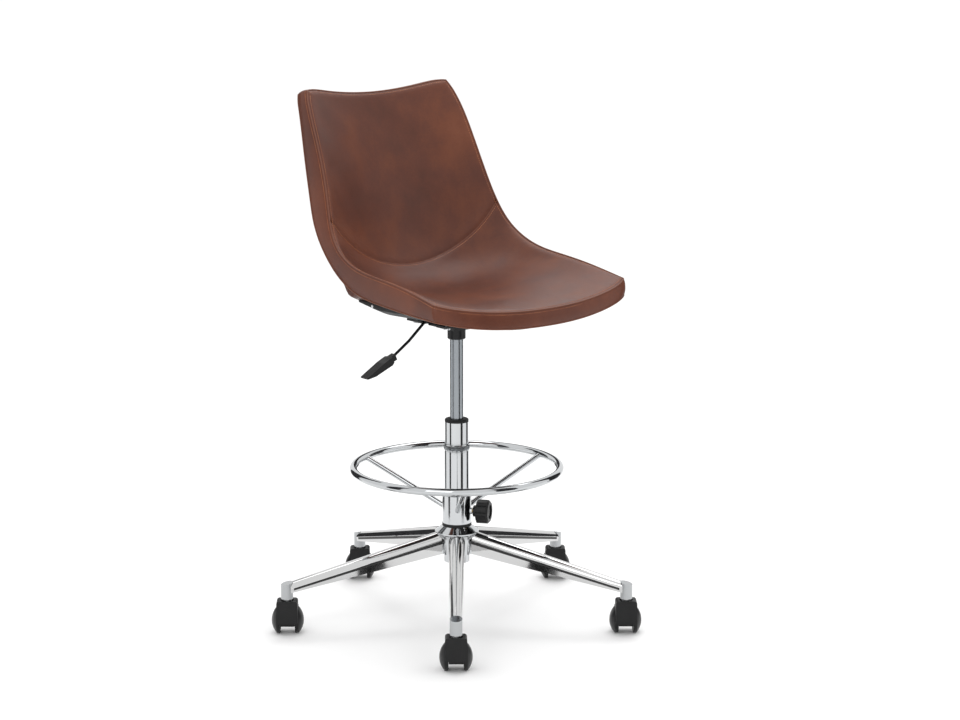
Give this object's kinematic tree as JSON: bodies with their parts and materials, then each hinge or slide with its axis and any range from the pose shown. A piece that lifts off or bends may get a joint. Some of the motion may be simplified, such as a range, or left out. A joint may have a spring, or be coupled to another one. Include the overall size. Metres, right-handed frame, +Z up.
{
  "type": "swivel stool",
  "caption": "Height-adjustable swivel stool: bucket seat on a gas lift, five-leg caster base, sliding clamped foot ring and a lift lever.",
  "frame": {"origin": "on the floor, under the middle of the gas lift's column", "axes": "+X to the sitter's left, +Y to the back, +Z up; the seat faces -Y"},
  "size_m": [0.7768, 0.7567, 1.117],
  "materials": {
    "base_hub": "gloss",
    "base_leg_1": "gloss",
    "base_leg_2": "gloss",
    "base_leg_3": "gloss",
    "base_leg_4": "gloss",
    "base_leg_5": "gloss",
    "caster_sockets": "gloss",
    "column_sleeve": "gloss",
    "lift_tube": "gloss",
    "guide_bush": "satin",
    "thrust_washer": "satin",
    "piston_rod": "gloss",
    "retaining_clip": "satin",
    "pressure_tube": "gloss",
    "release_pin": "satin",
    "ring_liner": "satin",
    "ring_collar": "gloss",
    "ring_spokes": "gloss",
    "ring_hoop": "gloss",
    "clamp_screw": "satin",
    "clamp_knob": "satin",
    "taper_socket": "satin",
    "lever_box": "satin",
    "mount_plate": "satin",
    "plate_bolts": "satin",
    "lever_pin": "satin",
    "lever_rod": "satin",
    "lever_paddle": "satin",
    "under_pan": "satin",
    "pan_screws": "satin",
    "outer_cover": "satin",
    "inner_shell": "satin",
    "seat_pad": "satin",
    "back_pad": "satin",
    "side_band": "satin",
    "caster_hood_1": "gloss",
    "caster_stem_1": "satin",
    "caster_axle_1": "satin",
    "wheel_1_left": "gloss",
    "wheel_1_right": "gloss",
    "caster_hood_2": "gloss",
    "caster_stem_2": "satin",
    "caster_axle_2": "satin",
    "wheel_2_left": "gloss",
    "wheel_2_right": "gloss",
    "caster_hood_3": "gloss",
    "caster_stem_3": "satin",
    "caster_axle_3": "satin",
    "wheel_3_left": "gloss",
    "wheel_3_right": "gloss",
    "caster_hood_4": "gloss",
    "caster_stem_4": "satin",
    "caster_axle_4": "satin",
    "wheel_4_left": "gloss",
    "wheel_4_right": "gloss",
    "caster_hood_5": "gloss",
    "caster_stem_5": "satin",
    "caster_axle_5": "satin",
    "wheel_5_left": "gloss",
    "wheel_5_right": "gloss"
  },
  "bodies": {
    "base": {"base_hub": "base_hub", "base_leg_1": "base_leg_1", "base_leg_2": "base_leg_2", "base_leg_3": "base_leg_3", "base_leg_4": "base_leg_4", "base_leg_5": "base_leg_5", "caster_sockets": "caster_sockets", "column_sleeve": "column_sleeve", "lift_tube": "lift_tube", "guide_bush": "guide_bush", "thrust_washer": "thrust_washer"},
    "spindle": {"piston_rod": "piston_rod", "retaining_clip": "retaining_clip"},
    "seat": {"pressure_tube": "pressure_tube", "taper_socket": "taper_socket", "lever_box": "lever_box", "mount_plate": "mount_plate", "plate_bolts": "plate_bolts", "lever_pin": "lever_pin", "under_pan": "under_pan", "pan_screws": "pan_screws", "outer_cover": "outer_cover", "inner_shell": "inner_shell", "seat_pad": "seat_pad", "back_pad": "back_pad", "side_band": "side_band"},
    "lever": {"lever_rod": "lever_rod", "lever_paddle": "lever_paddle"},
    "valve_pin": {"release_pin": "release_pin"},
    "ring_slider": {"ring_liner": "ring_liner"},
    "foot_ring": {"ring_collar": "ring_collar", "ring_spokes": "ring_spokes", "ring_hoop": "ring_hoop"},
    "screw": {"clamp_screw": "clamp_screw"},
    "knob": {"clamp_knob": "clamp_knob"},
    "caster_1": {"caster_hood_1": "caster_hood_1", "caster_stem_1": "caster_stem_1", "caster_axle_1": "caster_axle_1"},
    "wheel_1_left": {"wheel_1_left": "wheel_1_left"},
    "wheel_1_right": {"wheel_1_right": "wheel_1_right"},
    "caster_2": {"caster_hood_2": "caster_hood_2", "caster_stem_2": "caster_stem_2", "caster_axle_2": "caster_axle_2"},
    "wheel_2_left": {"wheel_2_left": "wheel_2_left"},
    "wheel_2_right": {"wheel_2_right": "wheel_2_right"},
    "caster_3": {"caster_hood_3": "caster_hood_3", "caster_stem_3": "caster_stem_3", "caster_axle_3": "caster_axle_3"},
    "wheel_3_left": {"wheel_3_left": "wheel_3_left"},
    "wheel_3_right": {"wheel_3_right": "wheel_3_right"},
    "caster_4": {"caster_hood_4": "caster_hood_4", "caster_stem_4": "caster_stem_4", "caster_axle_4": "caster_axle_4"},
    "wheel_4_left": {"wheel_4_left": "wheel_4_left"},
    "wheel_4_right": {"wheel_4_right": "wheel_4_right"},
    "caster_5": {"caster_hood_5": "caster_hood_5", "caster_stem_5": "caster_stem_5", "caster_axle_5": "caster_axle_5"},
    "wheel_5_left": {"wheel_5_left": "wheel_5_left"},
    "wheel_5_right": {"wheel_5_right": "wheel_5_right"}
  },
  "joints": [
    {"name": "seat_swivel", "type": "hinge", "parent": "base", "child": "spindle", "pos_m": [0, 0, 0.13], "axis": [0, 0, 1], "continuous": true},
    {"name": "seat_height", "type": "slide", "parent": "spindle", "child": "seat", "axis": [0, 0, 1], "range_m": [-0.16, 0.04]},
    {"name": "lever_pull", "type": "hinge", "parent": "seat", "child": "lever", "pos_m": [-0.022, 0, 0.638], "axis": [0, 1, 0], "range_deg": [0, 5], "stiffness_Nm_per_rad": 0.5, "springref_deg": -5.73},
    {"name": "valve_press", "type": "slide", "parent": "seat", "child": "valve_pin", "axis": [0, 0, -1], "range_m": [0, 0.002]},
    {"name": "foot_ring_height", "type": "slide", "parent": "base", "child": "ring_slider", "axis": [0, 0, 1], "range_m": [0, 0.09]},
    {"name": "foot_ring_turn", "type": "hinge", "parent": "ring_slider", "child": "foot_ring", "pos_m": [0, 0, 0.238], "axis": [0, 0, 1], "continuous": true},
    {"name": "clamp_feed", "type": "slide", "parent": "foot_ring", "child": "screw", "axis": [0.5878, -0.809, 0], "range_m": [0, 0.0025]},
    {"name": "knob_turn", "type": "hinge", "parent": "screw", "child": "knob", "pos_m": [0, 0, 0.238], "axis": [0.5878, -0.809, 0], "range_deg": [0, 720]},
    {"name": "caster_1_swivel", "type": "hinge", "parent": "base", "child": "caster_1", "pos_m": [-0.23285, -0.28754, 0.06], "axis": [0, 0, 1], "continuous": true},
    {"name": "wheel_1_left_roll", "type": "hinge", "parent": "caster_1", "child": "wheel_1_left", "pos_m": [-0.22177, -0.27336, 0.0275], "axis": [0.788, -0.6157, 0], "continuous": true},
    {"name": "wheel_1_right_roll", "type": "hinge", "parent": "caster_1", "child": "wheel_1_right", "pos_m": [-0.22177, -0.27336, 0.0275], "axis": [0.788, -0.6157, 0], "continuous": true},
    {"name": "caster_2_swivel", "type": "hinge", "parent": "base", "child": "caster_2", "pos_m": [0.20152, -0.31031, 0.06], "axis": [0, 0, 1], "continuous": true},
    {"name": "wheel_2_left_roll", "type": "hinge", "parent": "caster_2", "child": "wheel_2_left", "pos_m": [0.2126, -0.29612, 0.0275], "axis": [0.788, -0.6157, 0], "continuous": true},
    {"name": "wheel_2_right_roll", "type": "hinge", "parent": "caster_2", "child": "wheel_2_right", "pos_m": [0.2126, -0.29612, 0.0275], "axis": [0.788, -0.6157, 0], "continuous": true},
    {"name": "caster_3_swivel", "type": "hinge", "parent": "base", "child": "caster_3", "pos_m": [0.35739, 0.09576, 0.06], "axis": [0, 0, 1], "continuous": true},
    {"name": "wheel_3_left_roll", "type": "hinge", "parent": "caster_3", "child": "wheel_3_left", "pos_m": [0.36847, 0.10995, 0.0275], "axis": [0.788, -0.6157, 0], "continuous": true},
    {"name": "wheel_3_right_roll", "type": "hinge", "parent": "caster_3", "child": "wheel_3_right", "pos_m": [0.36847, 0.10995, 0.0275], "axis": [0.788, -0.6157, 0], "continuous": true},
    {"name": "caster_4_swivel", "type": "hinge", "parent": "base", "child": "caster_4", "pos_m": [0.01936, 0.36949, 0.06], "axis": [0, 0, 1], "continuous": true},
    {"name": "wheel_4_left_roll", "type": "hinge", "parent": "caster_4", "child": "wheel_4_left", "pos_m": [0.03045, 0.38368, 0.0275], "axis": [0.788, -0.6157, 0], "continuous": true},
    {"name": "wheel_4_right_roll", "type": "hinge", "parent": "caster_4", "child": "wheel_4_right", "pos_m": [0.03045, 0.38368, 0.0275], "axis": [0.788, -0.6157, 0], "continuous": true},
    {"name": "caster_5_swivel", "type": "hinge", "parent": "base", "child": "caster_5", "pos_m": [-0.34542, 0.1326, 0.06], "axis": [0, 0, 1], "continuous": true},
    {"name": "wheel_5_left_roll", "type": "hinge", "parent": "caster_5", "child": "wheel_5_left", "pos_m": [-0.33434, 0.14678, 0.0275], "axis": [0.788, -0.6157, 0], "continuous": true},
    {"name": "wheel_5_right_roll", "type": "hinge", "parent": "caster_5", "child": "wheel_5_right", "pos_m": [-0.33434, 0.14678, 0.0275], "axis": [0.788, -0.6157, 0], "continuous": true}
  ],
  "couplings": [
    {"joint": "valve_press", "follows": "lever_pull", "m_per_rad": 0.022},
    {"joint": "clamp_feed", "follows": "knob_turn", "m_per_rad": 0.000198}
  ]
}
